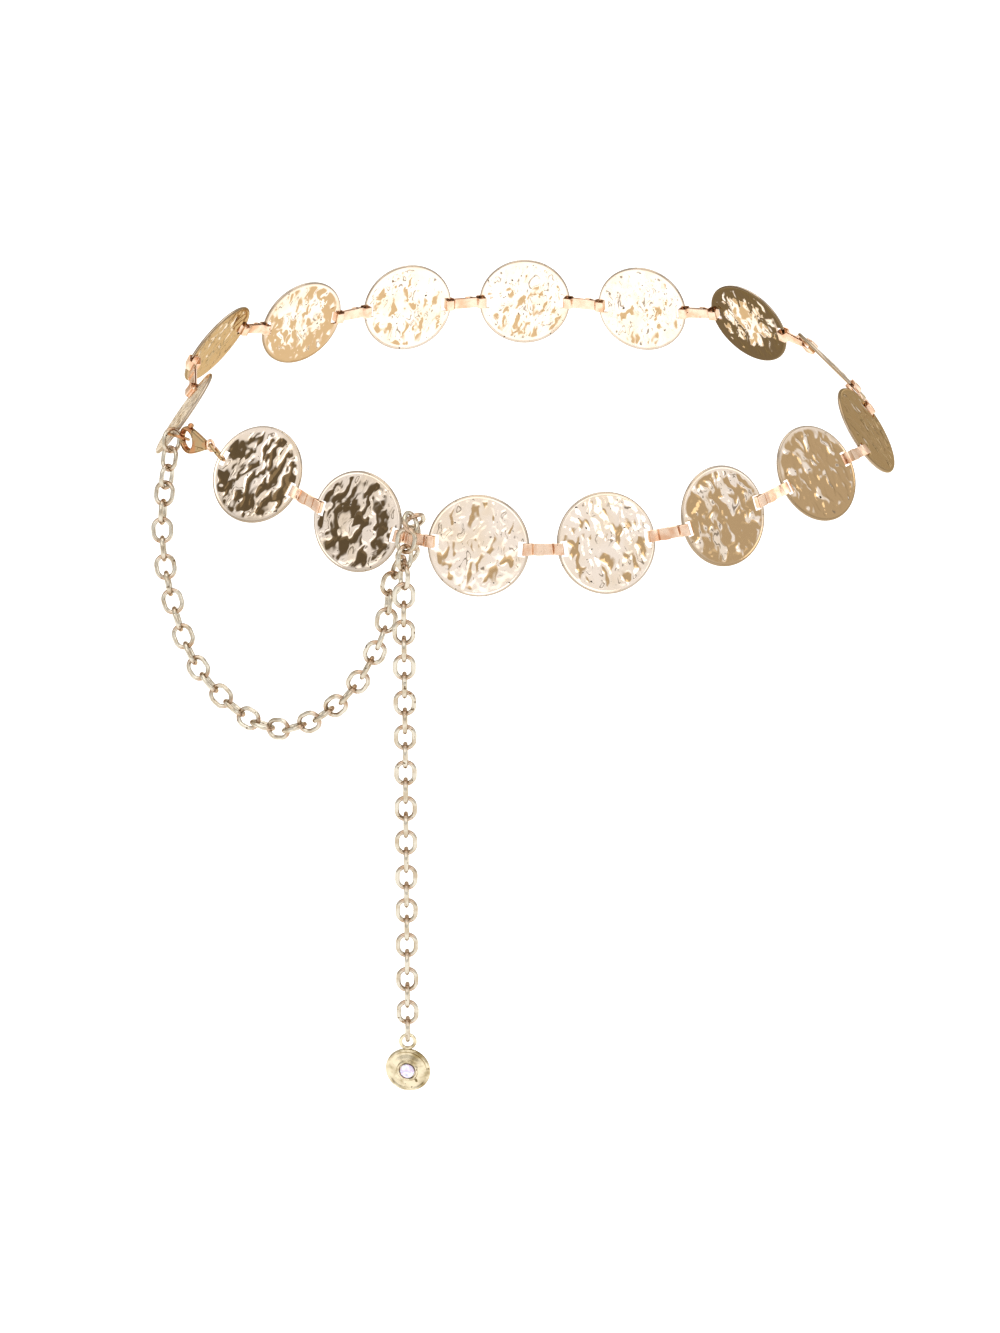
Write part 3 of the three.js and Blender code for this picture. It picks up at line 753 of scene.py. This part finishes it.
def makeLinkTree():
    tree = bpy.data.node_groups.new("wireLinks", "GeometryNodeTree")
    addSockets(tree, "INPUT", "Geometry", "Points")
    addSockets(tree, "INPUT", "Float", "Length", "Width", "Wire", *crossingPlace)
    addSockets(tree, "INPUT", "Int", *ringSteps)
    addSockets(tree, "INPUT", "Material", "Metal")
    addSockets(tree, "OUTPUT", "Geometry", "Links")
    given = addNode(tree, "NodeGroupInput").outputs
    bowRadius = calc(tree, "/", calc(tree, "-", given["Width"], given["Wire"]), 2.0)
    bows = {"Resolution": given["Bow Steps"], "Radius": bowRadius}
    circle = geoNode(tree, "CurvePrimitiveCircle", bows, mode="RADIUS")
    reach = split(tree, geoNode(tree, "InputPosition"))[0]
    sideways = calc(tree, "SIGN", reach)
    straight = calc(tree, "/", calc(tree, "-", given["Length"], given["Width"]), 2.0)
    offset = join(tree, calc(tree, "*", sideways, straight))
    oval = geoNode(tree, "SetPosition", {"Geometry": circle, "Offset": offset})
    sides = {"Resolution": given["Wire Sides"], "Radius": calc(tree, "/", given["Wire"], 2.0)}
    wire = geoNode(tree, "CurvePrimitiveCircle", sides, mode="RADIUS")
    link = geoNode(tree, "CurveToMesh", {"Curve": oval, "Profile Curve": wire})
    fromMiddle = calc(tree, "/", calc(tree, "ABSOLUTE", reach), given["Length"])
    crossing = rescale(tree, fromMiddle, given["Touch From"], given["Touch To"])
    marked = storeValue(tree, link, "crossing", crossing)
    along = geoNode(tree, "InputNamedAttribute", {"Name": "along"}, data_type="FLOAT_VECTOR")
    normal = geoNode(tree, "InputNamedAttribute", {"Name": "faceOn"}, data_type="FLOAT_VECTOR")
    turned = addNode(tree, "FunctionNodeAxesToRotation", {
        0: along, 1: normal}, primary_axis="X", secondary_axis="Z")
    placed = geoNode(tree, "InstanceOnPoints", {
        "Points": given["Points"], "Instance": marked, "Rotation": turned.outputs[0]})
    smooth = geoNode(tree, "SetShadeSmooth", {"Geometry": geoNode(tree, "RealizeInstances", {0: placed})})
    coated = geoNode(tree, "SetMaterial", {"Geometry": smooth, "Material": given["Metal"]})
    addNode(tree, "NodeGroupOutput", {"Links": coated})
    return tree


linkTree = makeLinkTree()


# rows holds the middle, the long axis and the face of each link.
def wireLinks(name, rows, size, material, steps):
    mesh = meshFrom(name, [point for point, along, faceOn in rows], [])
    for key, column in (("along", 1), ("faceOn", 2)):
        attribute = mesh.attributes.new(key, "FLOAT_VECTOR", "POINT")
        for index, row in enumerate(rows):
            attribute.data[index].vector = row[column]
    worker = newObject(name, mesh)
    nodesModifier(worker, linkTree, {
        "Length": float(size.length), "Width": float(size.width), "Wire": float(size.wire),
        **crossingPlace, **steps, "Metal": material})
    return placeMesh(applied(worker, name))


# Clasp and its rings

endRing = Settings(width=7.7, wire=1.2, reach=6.4, inward=0.65, rise=0.85, play=0.35)
jumpRing = Settings(width=6, wire=1.2, reach=5.1, rise=0.5, play=0.35)
clasp = Settings(
    thickness=2.4, bevel=0.7, halfWidth=5.6, noseBar=1.8, noseRun=3.2, backRun=3.6,
    neckHalf=1.8, neckRun=1, holeLength=7.2, holeHalf=3.7, eyeRadius=2.1, eyeWire=1.2,
    outlineSteps=10, bevelSteps=4, holeSteps=40,
)
gate = Settings(
    setBack=0.5, start=1.4, knobBack=2, knobRise=0.6, knobRadius=1.3,
    knobStretch=(1, 0.85, 0.95),
)

claspMetal = makeMetal(
    "claspGold", (1.2, 0.15), (4.0, 0.9), ((164, 140, 104), (184, 124, 84), (70, 52, 30)),
    ripple=1.8, scratches=(0.25, 0.5), roughness=(0.14, 0.34), bump=(0.3, 0.1))


# A ring that links two bars, each given by its middle and its half thickness.
def ringBetween(first, firstHalf, second, secondHalf, size):
    direction = (second - first).normalized()
    start = first - direction * (firstHalf + clearance)
    finish = second + direction * (secondHalf + clearance)
    length = (finish - start).length + 2 * size.wire
    return (start + finish) / 2, direction, Settings(length=length, width=size.width, wire=size.wire)


# A round ring, given by the radius at the middle of its wire.
def roundRing(radius, wire):
    return Settings(length=2 * radius + wire, width=2 * radius + wire, wire=wire)


hookDisc = frames[0]
claspDisc = frames[-1]
barMiddle = plate.radius - plate.barWidth / 2
hookBar = hookDisc.centre - hookDisc.ahead * barMiddle
claspBar = claspDisc.centre + claspDisc.ahead * barMiddle
intoRing = -hookDisc.ahead - hookDisc.out * endRing.inward - hookDisc.across * endRing.rise
nosePoint = hookBar + intoRing.normalized() * endRing.reach
towardsNose = ((nosePoint - claspBar).normalized() + up * jumpRing.rise).normalized()
eyePoint = claspBar + towardsNose * jumpRing.reach
claspReach = (nosePoint - eyePoint).length
claspAlong = (nosePoint - eyePoint).normalized()
claspNormal = squareTo(claspAlong.cross(up), claspAlong)

hookMiddle, hookDirection, hookSize = ringBetween(
    hookBar, plate.barWidth / 2 + endRing.play,
    nosePoint, clasp.noseBar / 2 + endRing.play, endRing)
jumpMiddle, jumpDirection, jumpSize = ringBetween(
    claspBar, plate.barWidth / 2 + jumpRing.play,
    eyePoint, clasp.eyeWire / 2 + jumpRing.play, jumpRing)
eyeMiddle = eyePoint + (claspAlong + towardsNose).normalized() * clasp.eyeRadius

for name, row, size in (
    ("end_ring", (hookMiddle, hookDirection, squareTo(hookDisc.across, hookDirection)), hookSize),
    ("jump_ring", (jumpMiddle, jumpDirection, squareTo(claspDisc.across, jumpDirection)), jumpSize),
    ("clasp_eye", (eyeMiddle, claspAlong, claspNormal), roundRing(clasp.eyeRadius, clasp.eyeWire)),
):
    metal = stripMetal if name == "clasp_eye" else claspMetal
    mesh = wireLinks(name, [row], size, metal, ringSteps)
    finishPiece(f"wire_{name}", mesh, None, "belt", [name])


# The clasp's plate is a flat curve with a rounded edge, made a mesh before it is cut.
def claspPlate(belly):
    base = 2 * clasp.eyeRadius + clasp.eyeWire / 2 + clearance
    tip = claspReach + clasp.noseBar / 2
    wide = clasp.halfWidth
    curve = bpy.data.curves.new("claspOutline", "CURVE")
    curve.dimensions = "2D"
    curve.fill_mode = "BOTH"
    curve.resolution_u = clasp.outlineSteps
    bevel = clasp.bevel
    curve.extrude = clasp.thickness / 2 - bevel
    curve.bevel_depth = bevel
    curve.bevel_resolution = clasp.bevelSteps
    curve.offset = -bevel
    neck = base + clasp.neckRun
    back = belly - clasp.backRun
    nose = belly + clasp.noseRun
    knots = [
        ((base, clasp.neckHalf), (neck, clasp.neckHalf), (base, 0)),
        ((belly, wide), (nose, wide), (back, wide)),
        ((tip, 0), (tip, -wide / 2), (tip, wide / 2)),
        ((belly, -wide), (back, -wide), (nose, -wide)),
        ((base, -clasp.neckHalf), (base, 0), (neck, -clasp.neckHalf)),
    ]
    outline = curve.splines.new("BEZIER")
    outline.bezier_points.add(len(knots) - 1)
    outline.use_cyclic_u = True
    for knot, (place, ahead, behind) in zip(outline.bezier_points, knots):
        knot.co = (*place, 0)
        knot.handle_right = (*ahead, 0)
        knot.handle_left = (*behind, 0)
    hole = curve.splines.new("POLY")
    hole.points.add(clasp.holeSteps - 1)
    hole.use_cyclic_u = True
    for step, point in enumerate(hole.points):
        angle = -2 * pi * step / clasp.holeSteps
        across = belly + clasp.holeLength / 2 * cos(angle)
        point.co = (across, clasp.holeHalf * sin(angle), 0, 1)
    return applied(newObject("claspOutline", curve), "claspPlate")


# Merges points that share a place, and turns every face outwards.
def tidied(mesh, distance=0.01):
    shape = bmesh.new()
    shape.from_mesh(mesh)
    bmesh.ops.remove_doubles(shape, verts=shape.verts, dist=distance)
    bmesh.ops.recalc_face_normals(shape, faces=shape.faces)
    shape.to_mesh(mesh)
    shape.free()
    return mesh


def gateCutter(belly, grow):
    length = clasp.holeLength + 2 * grow
    height = clasp.halfWidth + 2 * grow
    centre = (belly - gate.setBack, gate.start + height / 2 - grow, 0)
    return boxObject("gateCutter", (length, height, 2 * clasp.thickness), centre)


def knobObject(belly):
    centre = (belly - gate.knobBack, clasp.halfWidth + gate.knobRise, 0)
    return newObject("knob", solidMesh(
        "knob", bmesh.ops.create_uvsphere, gate.knobStretch, centre,
        u_segments=20, v_segments=12, radius=gate.knobRadius))


claspBelly = claspReach - clasp.noseBar / 2 - clasp.holeLength / 2
claspBlank = tidied(claspPlate(claspBelly))
claspPlace = basisAt(eyePoint, claspAlong, claspNormal.cross(claspAlong), claspNormal)
bodyMesh = combined(newObject("claspBody", claspBlank.copy()), [gateCutter(claspBelly, clearance)])
gateMesh = combined(newObject("claspGate", claspBlank.copy()), [gateCutter(claspBelly, 0)], "INTERSECT")
gateMesh = combined(newObject("claspGate", gateMesh), [knobObject(claspBelly)], "UNION")
for name, mesh in (("clasp_body", bodyMesh), ("clasp_gate", gateMesh)):
    placed = placeMesh(smoothed(mesh), claspPlace)
    finishPiece(f"lobster_{name}", placed, claspMetal, "belt", [name])
print("clasp ready")


# Chain, on the part's own route

chain = Settings(
    length=10.8, width=9, wire=1.85, bite=0.3, linksInRun=5, linksInFirstRun=3,
    samples=20000, faceForward=0.0015,
)

# One row for each point that the swag passes: x, y, z and the twist of the links about their line.
swagRoute = [
    (-146.6, -39, -37, 90), (-142.6, -48, -65, 90), (-131.5, -59, -91, 90), (-110.5, -71, -108, 90),
    (-95, -79, -109, 90), (-72, -88, -93, 90), (-56.5, -93, -65, 90), (-52, -91, -42, 110),
]

# The chain passes over the strip with this index, then settles and hangs.
heldStrip = 12
wrap = Settings(place=0.6, reach=5.2, twist=110, steps=4, start=-20, sweep=220)
hanging = Settings(x=-47.5, forward=2, settleDrop=20, straightDrop=60, twist=180, end=-233)
linkInside = chain.length - 2 * chain.wire


def chainRoute():
    ringSide = hookDirection.cross(squareTo(hookDisc.across, hookDirection))
    legOffset = (endRing.width - endRing.wire) / 2
    leg = hookMiddle + ringSide * (-legOffset if ringSide.x > 0 else legOffset)
    first = leg + up * (endRing.wire / 2 + 2 * clearance - linkInside / 2)
    faceOn = degrees(atan2(hookDirection.x, -hookDirection.y))
    route = [(first, 180 - faceOn)]
    route += [(Vector((x, y, z)), twist) for x, y, z, twist in swagRoute]
    start, length, direction, innerHalf, edges = stripSpan(heldStrip)
    wide = squareTo(frames[heldStrip].across, direction)
    thick = direction.cross(wide)
    middle = start + direction * (length * wrap.place)
    depth = innerHalf + strip.thickness + wrap.reach
    height = strip.width / 2 + wrap.reach
    for step in range(wrap.steps + 1):
        angle = radians(wrap.start + wrap.sweep * step / wrap.steps)
        place = middle - thick * depth * cos(angle) - wide * height * sin(angle)
        route.append((place, wrap.twist))
    front = route[-1][0]
    settled = Vector((hanging.x, front.y - hanging.forward, front.z - hanging.settleDrop))
    route.append((settled, hanging.twist))
    route.append((settled - up * hanging.straightDrop, hanging.twist))
    route.append((Vector((settled.x, settled.y, hanging.end)), hanging.twist))
    return route


# A smooth curve through the points, with its speed set by the square root of their distance.
class SmoothRoute:
    def __init__(self, points):
        before = points[0] * 2 - points[1]
        after = points[-1] * 2 - points[-2]
        self.points = [before, *points, after]
        self.spans = len(points) - 1

    def point(self, share):
        place = min(max(share, 0), 1) * self.spans
        span = min(int(place), self.spans - 1)
        weight = place - span
        a, b, c, d = self.points[span:span + 4]
        first = max((b - a).length, 1e-4) ** 0.5
        second = max((c - b).length, 1e-4) ** 0.5
        third = max((d - c).length, 1e-4) ** 0.5
        leave = ((b - a) / first - (c - a) / (first + second) + (c - b) / second) * second
        arrive = ((c - b) / second - (d - b) / (second + third) + (d - c) / third) * second
        square = weight * weight
        cube = square * weight
        return (b + leave * weight + (c * 3 - b * 3 - leave * 2 - arrive) * square
                + (b * 2 - c * 2 + leave + arrive) * cube)

    def tangent(self, share):
        small = 0.0001
        return (self.point(min(share + small, 1)) - self.point(max(share - small, 0))).normalized()


# Walks the route and sets a link at each pitch. The links' faces lean back towards the front.
def chainLinks():
    route = chainRoute()
    curve = SmoothRoute([point for point, twist in route])
    rows = []
    normal = forward.copy()
    for sample in range(chain.samples + 1):
        share = sample / chain.samples
        point = curve.point(share)
        tangent = curve.tangent(share)
        normal = normal + forward * copysign(chain.faceForward, normal.dot(forward))
        normal = squareTo(normal, tangent)
        startsRun = (len(rows) - chain.linksInFirstRun) % chain.linksInRun == 0
        pitch = linkInside + (-clearance if startsRun else chain.bite)
        if not rows or (point - rows[-1][0]).length >= pitch:
            place = share * (len(route) - 1)
            row = min(int(place), len(route) - 2)
            twist = route[row][1] + (route[row + 1][1] - route[row][1]) * (place - row)
            angle = radians(twist + 90 * (len(rows) % 2))
            rows.append((point, tangent, Matrix.Rotation(angle, 3, tangent) @ normal))
    return rows


# The painted shade where the links cross.
crossingShadeTone = Settings(color=paint(160, 112, 72), share=0.55)


# The links are painted browner where they cross each other, as painted shade between them.
def shadedCrossings(tree, color):
    share = calc(tree, "*", readValue(tree, "crossing"), crossingShadeTone.share)
    return mixColors(tree, share, color, crossingShadeTone.color)


chainMetal = makeMetal(
    "chainChampagne", (1.6, 0.2), (3.5, 0.9), ((200, 193, 178), (172, 156, 132), (98, 78, 52)),
    ripple=1.6, scratches=(0.25, 0.5), roughness=(0.14, 0.34), bump=(0.3, 0.1), colorFrom=shadedCrossings)
linkRows = chainLinks()
runCount = 1 + ceil((len(linkRows) - chain.linksInFirstRun) / chain.linksInRun)
chainNodes = [f"chain_{run + 1:02d}" for run in range(runCount)]
chainMesh = wireLinks("cableChain", linkRows, chain, chainMetal, chainSteps)
finishPiece("cable_chain", chainMesh, None, "belt", chainNodes)
print("chain ready:", len(linkRows), "links")


# Pendant

pendant = Settings(radius=9.2, turn=-12, segments=72)
pendantEye = Settings(radius=2.9, wire=1.4)

# Both are turned on a lathe, and each pair is a radius and a height.
pendantSection = [
    (0, -1.2), (7.9, -1.2), (8.4, -1.12), (8.85, -0.9), (9.12, -0.5), (9.2, 0.0), (9.15, 0.45), (8.95, 0.8),
    (8.65, 0.98), (8.35, 0.98), (8.0, 0.82), (7.7, 0.6), (7.4, 0.52), (6.6, 0.75), (5.8, 1.05), (5.1, 1.22),
    (4.6, 1.28), (4.45, 1.36), (4.35, 1.6), (4.2, 1.82), (4.0, 1.92), (3.75, 1.92), (3.5, 1.82), (3.3, 1.6),
    (3.3, 0.9), (0, 0.9),
]
stoneSection = [
    (0, 1.2), (2.9, 1.2), (2.98, 1.4), (2.95, 1.8), (2.7, 2.15), (2.2, 2.5), (1.5, 2.76), (0.8, 2.88),
    (0, 2.92),
]

pivot = linkRows[-1][0] + linkRows[-1][1] * (chain.length - chain.wire) / 2
eyeDrop = pendantEye.radius - pendantEye.wire / 2 - clearance - chain.wire / 2
eyeCentre = pivot - up * eyeDrop
pendantCentre = eyeCentre - up * (pendantEye.radius + pendantEye.wire / 4 + pendant.radius)


# Turned on a lathe about the line that faces the viewer.
def turnedMesh(name, section):
    count = pendant.segments
    points = []
    faces = []
    for radius, height in section:
        for step in range(count):
            angle = 2 * pi * step / count
            points.append((radius * cos(angle), radius * sin(angle), height))
    for low in range(0, len(points) - count, count):
        addBand(faces, low, low + count, count)
    mesh = tidied(meshFrom(name, points, faces), 0.0005)
    upright = Matrix.Rotation(radians(90), 4, "X")
    facing = Matrix.Rotation(radians(pendant.turn), 4, "Z") @ upright
    return placeMesh(mesh, Matrix.Translation(pendantCentre) @ facing)


# The pendant's dark olive clouds are painted shade patches.
pendantMetal = makeMetal(
    "pendantGold", (2.4, 0.2), (6.0, 1.0), ((214, 202, 174), (140, 122, 84), (110, 94, 62)),
    ripple=2.2, scratches=(0.25, 0.4), roughness=(0.12, 0.3), bump=(0.35, 0.15))
pendantMesh = smoothed(turnedMesh("pendantDisc", pendantSection), 50)
finishPiece("pendant_disc", pendantMesh, pendantMetal, "pendant", ["pendant"])
eyeSize = roundRing(pendantEye.radius, pendantEye.wire)
eyeMesh = wireLinks("pendantEye", [(eyeCentre, up, forward)], eyeSize, pendantMetal, ringSteps)
eyePiece = newObject("pendant_eye", eyeMesh)
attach(eyePiece, "pendant")


stoneFinish = Settings(
    pale=paint(236, 232, 244), deep=paint(196, 186, 214), veinScale=420.0, veinFrom=0.4,
    veinTo=0.62, gloss=0.08, dull=0.16,
)


def makeStone():
    material, tree = startMaterial("milkyStone")
    place = addNode(tree, "ShaderNodeTexCoord").outputs["Object"]
    veins = addNode(tree, "ShaderNodeTexNoise", {
        "Vector": place, "Scale": stoneFinish.veinScale, "Detail": 3.0, "Distortion": 1.2}).outputs["Fac"]
    share = rescale(tree, veins, stoneFinish.veinFrom, stoneFinish.veinTo)
    color = mixColors(tree, share, stoneFinish.pale, stoneFinish.deep)
    roughness = rescale(tree, veins, 0.3, 0.7, stoneFinish.gloss, stoneFinish.dull)
    addSurface(tree, {
        "Base Color": color, "Roughness": roughness, "Subsurface Weight": 0.25, "Coat Weight": 0.6,
        "Subsurface Scale": millimetre})
    return material


stoneMesh = smoothed(turnedMesh("cabochon", stoneSection), 50)
finishPiece("pendant_cabochon", stoneMesh, makeStone(), "pendant", ["pendant_stone"])
print("pendant ready")


# Floor, world and lights

studio = Settings(floorDrop=0.31, floorHalf=14, floorGlow=0.4)


def makeFloor():
    material, tree = startMaterial("paleFloor")
    addSurface(tree, {
        "Base Color": (0.9, 0.9, 0.9, 1), "Roughness": 0.9, "Emission Color": (1, 1, 1, 1),
        "Emission Strength": studio.floorGlow})
    half = studio.floorHalf
    level = -studio.floorDrop
    corners = [(-half, -half, level), (half, -half, level), (half, half, level), (-half, half, level)]
    mesh = meshFrom("floor", corners, [(0, 1, 2, 3)])
    mesh.materials.append(material)
    newObject("floor", mesh)


# The room is bright, and slightly dim at both sides and behind. One row for each dim wall: the axis that it
# lies along, where the dimming begins and ends on it, and the dimming at each.
room = Settings(bright=(0.98, 0.97, 0.96, 1), dim=(0.1, 0.085, 0.06, 1), strength=1.04)
dimWalls = [(0, -0.84, -0.64, 0.12, 0.0), (0, 0.45, 0.75, 0.0, 0.05), (1, -0.1, 0.5, 0.0, 0.22)]
overhead = Settings(low=0.35, high=0.8, dimming=0.2)


def makeWorld():
    world = bpy.data.worlds.new("softRoom")
    world.use_nodes = True
    tree = world.node_tree
    tree.nodes.clear()
    direction = addNode(tree, "ShaderNodeTexCoord").outputs["Generated"]
    parts = split(tree, direction)
    dimming = 0.0
    for axis, low, high, atLow, atHigh in dimWalls:
        dimming = calc(tree, "MAXIMUM", rescale(tree, parts[axis], low, high, atLow, atHigh), dimming)
    below = rescale(tree, parts[2], overhead.low, overhead.high, 1.0, overhead.dimming)
    color = mixColors(tree, calc(tree, "*", dimming, below), room.bright, room.dim)
    background = addNode(tree, "ShaderNodeBackground", {"Color": color, "Strength": room.strength})
    addNode(tree, "ShaderNodeOutputWorld", {"Surface": background.outputs[0]})
    bpy.context.scene.world = world


# One row for each soft light: name, place and size in metres, power in watts and tint.
softBoxes = [
    ("keyLight", (-0.9, -1.6, 1.6), 1.7, 11, (1.0, 0.98, 0.95)),
    ("fillLight", (1.3, -1.2, 1.1), 1.0, 5, (1.0, 0.97, 0.93)),
    ("topLight", (0.1, 0.3, 1.9), 1.6, 12, (1.0, 1.0, 1.0)),
]
lookAt = Vector((-0.01, 0, -0.05))

makeFloor()
makeWorld()
for name, location, size, power, tint in softBoxes:
    light = bpy.data.lights.new(name, "AREA")
    light.shape = "SQUARE"
    light.size = size
    light.energy = power
    light.color = tint
    lamp = newObject(name, light)
    lamp.location = location
    lamp.rotation_euler = (lookAt - lamp.location).to_track_quat("-Z", "Y").to_euler()
bpy.context.scene.view_settings.view_transform = "Standard"
print("studio ready")
